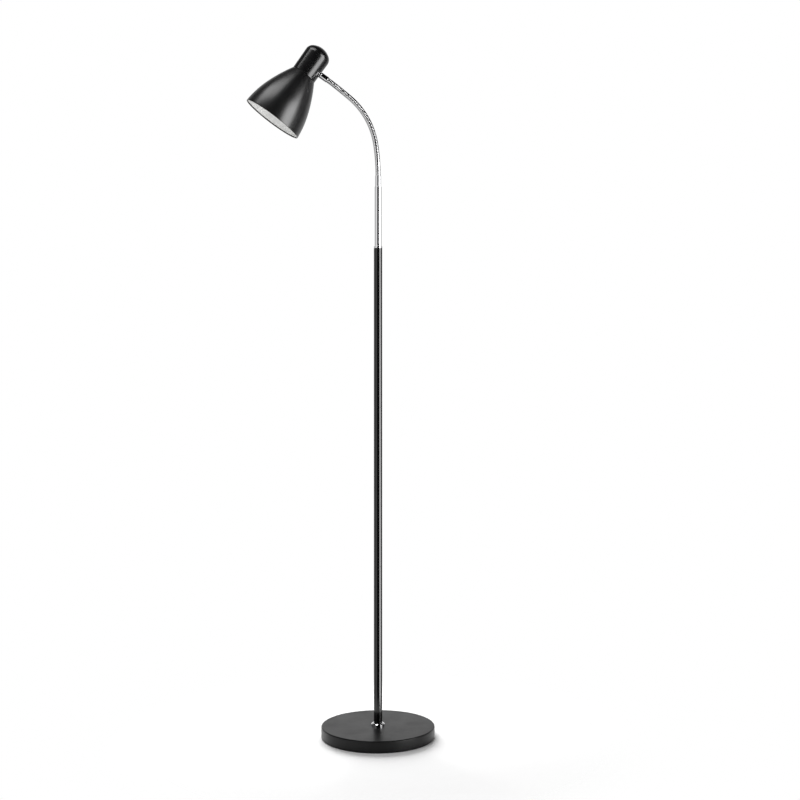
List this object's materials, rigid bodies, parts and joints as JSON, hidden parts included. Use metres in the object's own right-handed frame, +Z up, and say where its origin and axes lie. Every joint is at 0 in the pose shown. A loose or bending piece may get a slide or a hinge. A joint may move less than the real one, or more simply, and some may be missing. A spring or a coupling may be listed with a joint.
{
  "type": "gooseneck floor lamp",
  "caption": "Floor reading lamp with a round weighted base, a straight pole, a bendable gooseneck and a bell-shaped shade that turns.",
  "frame": {"origin": "centre of the base's underside, on the floor", "axes": "+Z up along the pole, -X towards the lamp's head, +Y to the back, where the mains lead enters the base"},
  "size_m": [0.4213, 0.256, 1.5499],
  "materials": {
    "cover_black": "satin",
    "pole_black": "gloss",
    "shade_black": "satin",
    "cap_black": "satin",
    "tube_chrome": "polished",
    "hose_chrome": "polished",
    "zinc_steel": "satin",
    "weight_iron": "matte",
    "pad_rubber": "matte",
    "grommet_rubber": "satin",
    "washer_grey": "matte",
    "holder_plastic": "satin",
    "contact_brass": "polished",
    "bulb_opal": "matte",
    "bulb_white": "satin",
    "bulb_metal": "satin",
    "bulb_insulator": "gloss",
    "lead_sheath": "satin"
  },
  "bodies": {
    "stand": {"foot_pad": "pad_rubber", "base_plate": "zinc_steel", "plate_screws": "zinc_steel", "base_weight": "weight_iron", "base_cover": "cover_black", "cord_grommet": "grommet_rubber", "base_stud": "zinc_steel", "base_washer": "zinc_steel", "base_nut": "zinc_steel", "base_collar": "tube_chrome", "pole_lower": "pole_black", "pole_middle": "pole_black", "pole_upper": "pole_black", "lower_end_bushes": "zinc_steel", "upper_end_bushes": "zinc_steel", "pole_nipples": "zinc_steel", "pole_top_ring": "tube_chrome", "neck_tube_nipple": "zinc_steel", "neck_tube_bush": "zinc_steel", "neck_tube": "tube_chrome", "lower_ferrule": "tube_chrome", "neck_root_link": "hose_chrome", "lead_in_pole": "lead_sheath", "lead_in_neck": "lead_sheath"},
    "neck_01": {"neck_link_01": "hose_chrome"},
    "neck_02": {"neck_link_02": "hose_chrome"},
    "neck_03": {"neck_link_03": "hose_chrome"},
    "neck_04": {"neck_link_04": "hose_chrome"},
    "neck_05": {"neck_link_05": "hose_chrome"},
    "neck_06": {"neck_link_06": "hose_chrome"},
    "neck_07": {"neck_link_07": "hose_chrome"},
    "neck_08": {"neck_link_08": "hose_chrome"},
    "neck_09": {"neck_link_09": "hose_chrome"},
    "neck_10": {"neck_link_10": "hose_chrome"},
    "neck_11": {"neck_link_11": "hose_chrome"},
    "neck_end": {"neck_tip_link": "hose_chrome", "upper_ferrule": "tube_chrome", "friction_washer": "washer_grey", "head_nipple": "zinc_steel", "stop_washer": "zinc_steel", "head_nut": "zinc_steel"},
    "head": {"cap_washer": "tube_chrome", "lamp_cap": "cap_black", "holder_bracket": "zinc_steel", "bracket_screws": "zinc_steel", "lampholder_body": "holder_plastic", "lampholder_shell": "contact_brass", "centre_contact": "contact_brass", "shade_ring": "holder_plastic", "lamp_shade": "shade_black", "bulb_dome": "bulb_opal", "bulb_body": "bulb_white", "led_board": "bulb_metal", "bulb_screw_cap": "bulb_metal", "bulb_insulator": "bulb_insulator", "bulb_contact": "bulb_metal", "lead_in_head": "lead_sheath"}
  },
  "joints": [
    {"name": "neck_bend_01", "type": "hinge", "parent": "stand", "child": "neck_01", "pos_m": [0, 0, 1.2695], "axis": [0, -1, 0], "range_deg": [-15, 11], "deforming": ["lead_in_neck"]},
    {"name": "neck_side_02", "type": "hinge", "parent": "neck_01", "child": "neck_02", "pos_m": [-0.001, 0, 1.29066], "axis": [0.9976, 0, 0.0691], "range_deg": [-15, 15], "deforming": ["lead_in_neck"]},
    {"name": "neck_bend_03", "type": "hinge", "parent": "neck_02", "child": "neck_03", "pos_m": [-0.00293, 0, 1.31175], "axis": [0, -1, 0], "range_deg": [-15, 11], "deforming": ["lead_in_neck"]},
    {"name": "neck_bend_04", "type": "hinge", "parent": "neck_03", "child": "neck_04", "pos_m": [-0.00579, 0, 1.33274], "axis": [0, -1, 0], "range_deg": [-15, 11], "deforming": ["lead_in_neck"]},
    {"name": "neck_side_05", "type": "hinge", "parent": "neck_04", "child": "neck_05", "pos_m": [-0.01069, 0, 1.35335], "axis": [0.9564, 0, 0.2922], "range_deg": [-15, 15], "deforming": ["lead_in_neck"]},
    {"name": "neck_bend_06", "type": "hinge", "parent": "neck_05", "child": "neck_06", "pos_m": [-0.01814, 0, 1.37318], "axis": [0, -1, 0], "range_deg": [-15, 11], "deforming": ["lead_in_neck"]},
    {"name": "neck_bend_07", "type": "hinge", "parent": "neck_06", "child": "neck_07", "pos_m": [-0.02801, 0, 1.39192], "axis": [0, -1, 0], "range_deg": [-20, 10], "deforming": ["lead_in_neck"]},
    {"name": "neck_side_08", "type": "hinge", "parent": "neck_07", "child": "neck_08", "pos_m": [-0.04015, 0, 1.40928], "axis": [0.782, 0, 0.6233], "range_deg": [-15, 15], "deforming": ["lead_in_neck"]},
    {"name": "neck_bend_09", "type": "hinge", "parent": "neck_08", "child": "neck_09", "pos_m": [-0.05436, 0, 1.42498], "axis": [0, -1, 0], "range_deg": [-20, 10], "deforming": ["lead_in_neck"]},
    {"name": "neck_bend_10", "type": "hinge", "parent": "neck_09", "child": "neck_10", "pos_m": [-0.07043, 0, 1.43878], "axis": [0, -1, 0], "range_deg": [-20, 10], "deforming": ["lead_in_neck"]},
    {"name": "neck_side_11", "type": "hinge", "parent": "neck_10", "child": "neck_11", "pos_m": [-0.08682, 0, 1.45221], "axis": [0.6288, 0, 0.7776], "range_deg": [-15, 15], "deforming": ["lead_in_neck"]},
    {"name": "neck_bend_12", "type": "hinge", "parent": "neck_11", "child": "neck_end", "pos_m": [-0.10337, 0, 1.46542], "axis": [0, -1, 0], "range_deg": [-20, 10], "deforming": ["lead_in_neck"]},
    {"name": "head_turn", "type": "hinge", "parent": "neck_end", "child": "head", "pos_m": [-0.15418, 0, 1.50166], "axis": [0.8141, 0, -0.5807], "range_deg": [-150, 150]}
  ]
}
